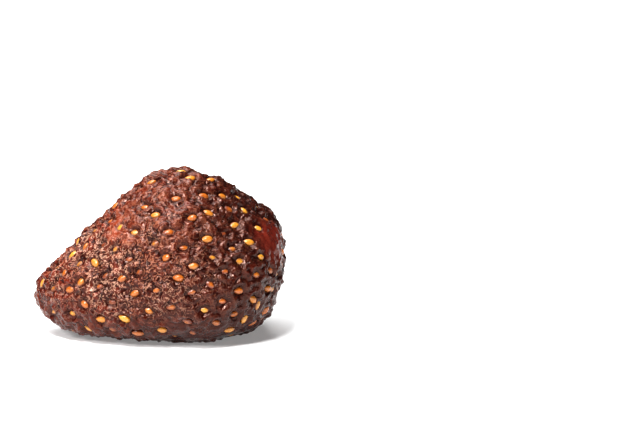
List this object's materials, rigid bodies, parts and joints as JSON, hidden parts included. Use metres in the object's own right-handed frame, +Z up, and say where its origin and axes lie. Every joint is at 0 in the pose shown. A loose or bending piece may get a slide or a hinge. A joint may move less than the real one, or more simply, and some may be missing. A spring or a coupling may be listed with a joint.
{
  "type": "dried strawberry",
  "caption": "Whole dried strawberry with no leaves, lying on its side on a small flat spot: blunt leaf end, tapering tip, shrunken lumpy flesh.",
  "frame": {"origin": "middle of the bounding box's bottom face, on the plane of the small flat spot that the fruit rests on", "axes": "+X from the tip towards the end that held the leaves, +Y away from the viewer, +Z up"},
  "size_m": [0.034, 0.024, 0.0227],
  "materials": {
    "flesh": "semi-gloss, wrinkled",
    "achene": "glossy husk"
  },
  "bodies": {
    "root": {"strawberry": "flesh"}
  },
  "joints": []
}
